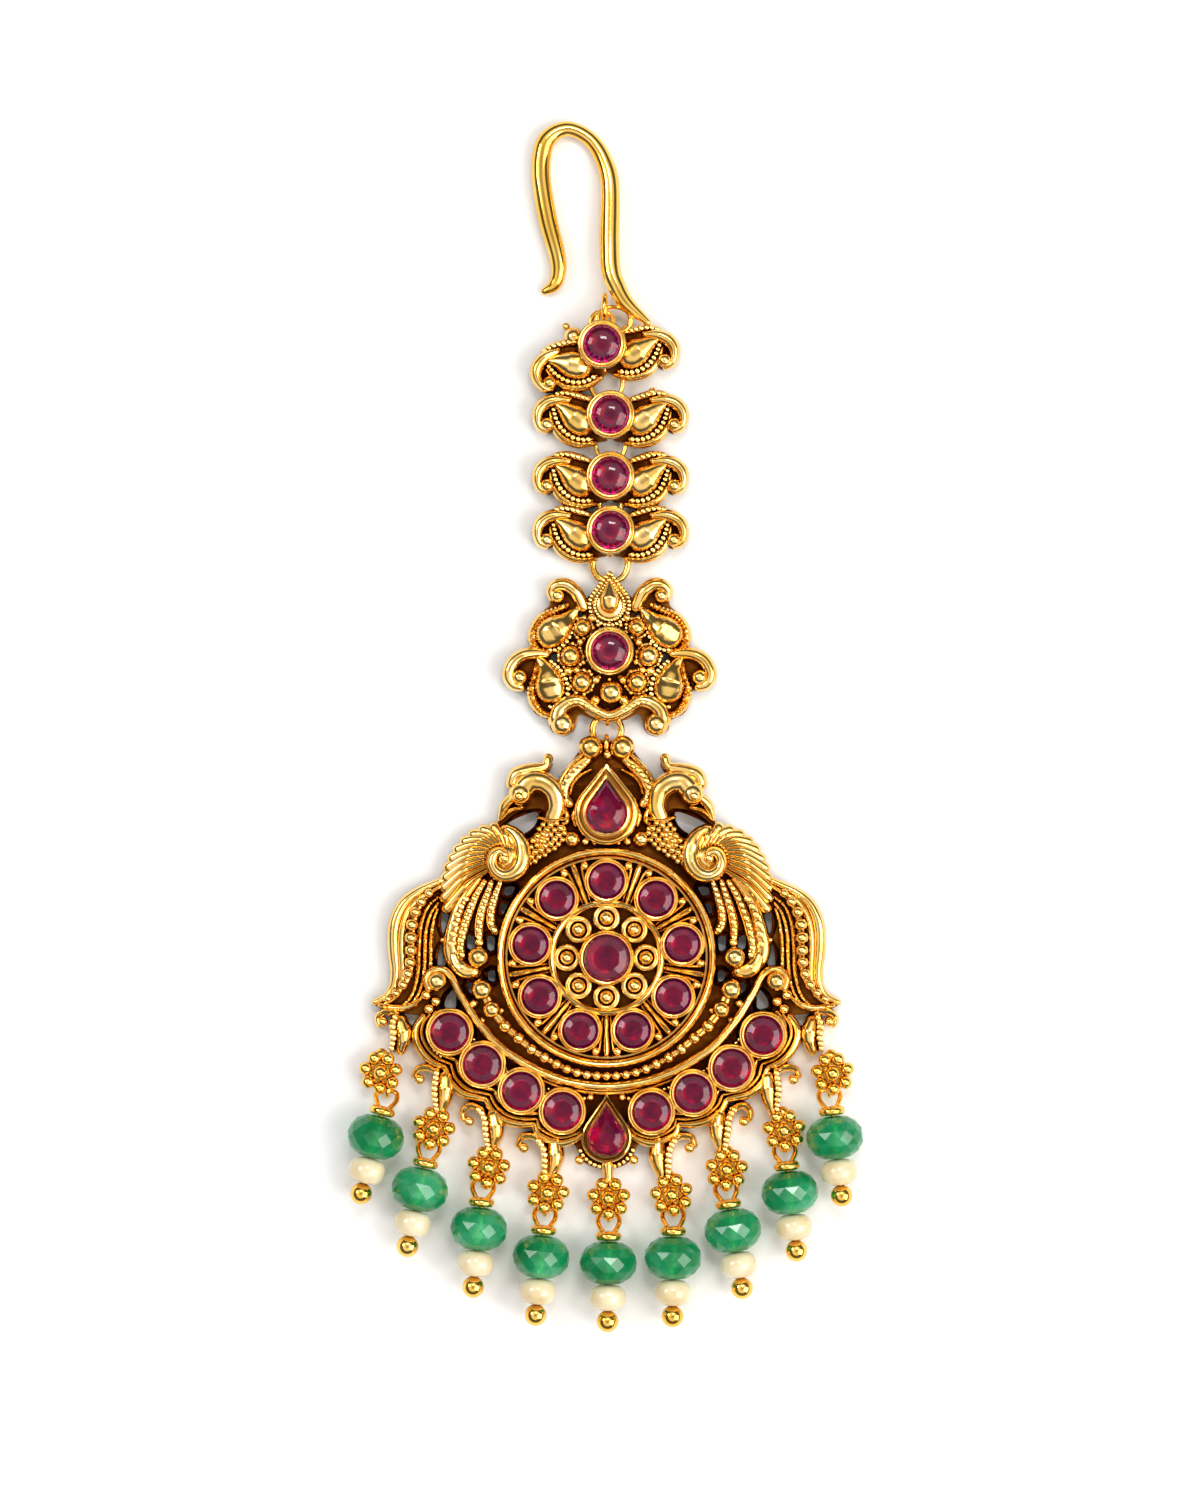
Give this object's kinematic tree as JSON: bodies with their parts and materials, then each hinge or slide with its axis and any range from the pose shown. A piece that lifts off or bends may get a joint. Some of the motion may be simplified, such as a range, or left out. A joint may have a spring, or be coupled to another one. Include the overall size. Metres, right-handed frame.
{
  "type": "maang tikka",
  "caption": "Long forehead jewel: a wire hook, a chain of winged links and a plaque, and a peacock pendant with a ruby wheel and bead drops.",
  "frame": {"origin": "centre of the wheel, on the pendant's flat back", "axes": "+Z out of the jewel's face, +Y up the chain towards the hook"},
  "size_m": [0.0512, 0.1211, 0.0057],
  "materials": {
    "antique_gold": "polished high spots, brown patina in the recesses",
    "polished_gold": "mirror polished",
    "ruby": "deep red, polished, slightly translucent",
    "green_stone": "translucent green, faceted and polished",
    "pearl": "cream lustre"
  },
  "bodies": {
    "root": {"pendant": "antique_gold", "ruby_wheel_1": "ruby", "ruby_wheel_2": "ruby", "ruby_wheel_3": "ruby", "ruby_wheel_4": "ruby", "ruby_wheel_5": "ruby", "ruby_wheel_6": "ruby", "ruby_wheel_7": "ruby", "ruby_wheel_8": "ruby", "ruby_wheel_9": "ruby", "ruby_centre": "ruby", "ruby_crown": "ruby", "ruby_foot": "ruby", "stones_crescent_right": "ruby", "stones_crescent_left": "ruby", "medallion": "antique_gold", "ruby_medallion": "ruby", "link_4": "antique_gold", "ruby_link_4": "ruby", "link_3": "antique_gold", "ruby_link_3": "ruby", "link_2": "antique_gold", "ruby_link_2": "ruby", "link_1": "antique_gold", "ruby_link_1": "ruby", "ring_medallion_pendant": "polished_gold", "ring_4_medallion": "polished_gold", "ring_3_4": "polished_gold", "ring_2_3": "polished_gold", "ring_1_2": "polished_gold", "ring_top": "polished_gold", "hook": "polished_gold", "pin_1": "polished_gold", "bead_1": "green_stone", "pearl_1": "pearl", "pin_2": "polished_gold", "bead_2": "green_stone", "pearl_2": "pearl", "pin_3": "polished_gold", "bead_3": "green_stone", "pearl_3": "pearl", "pin_4": "polished_gold", "bead_4": "green_stone", "pearl_4": "pearl", "pin_5": "polished_gold", "bead_5": "green_stone", "pearl_5": "pearl", "pin_6": "polished_gold", "bead_6": "green_stone", "pearl_6": "pearl", "pin_7": "polished_gold", "bead_7": "green_stone", "pearl_7": "pearl", "pin_8": "polished_gold", "bead_8": "green_stone", "pearl_8": "pearl", "pin_9": "polished_gold", "bead_9": "green_stone", "pearl_9": "pearl"}
  },
  "joints": []
}
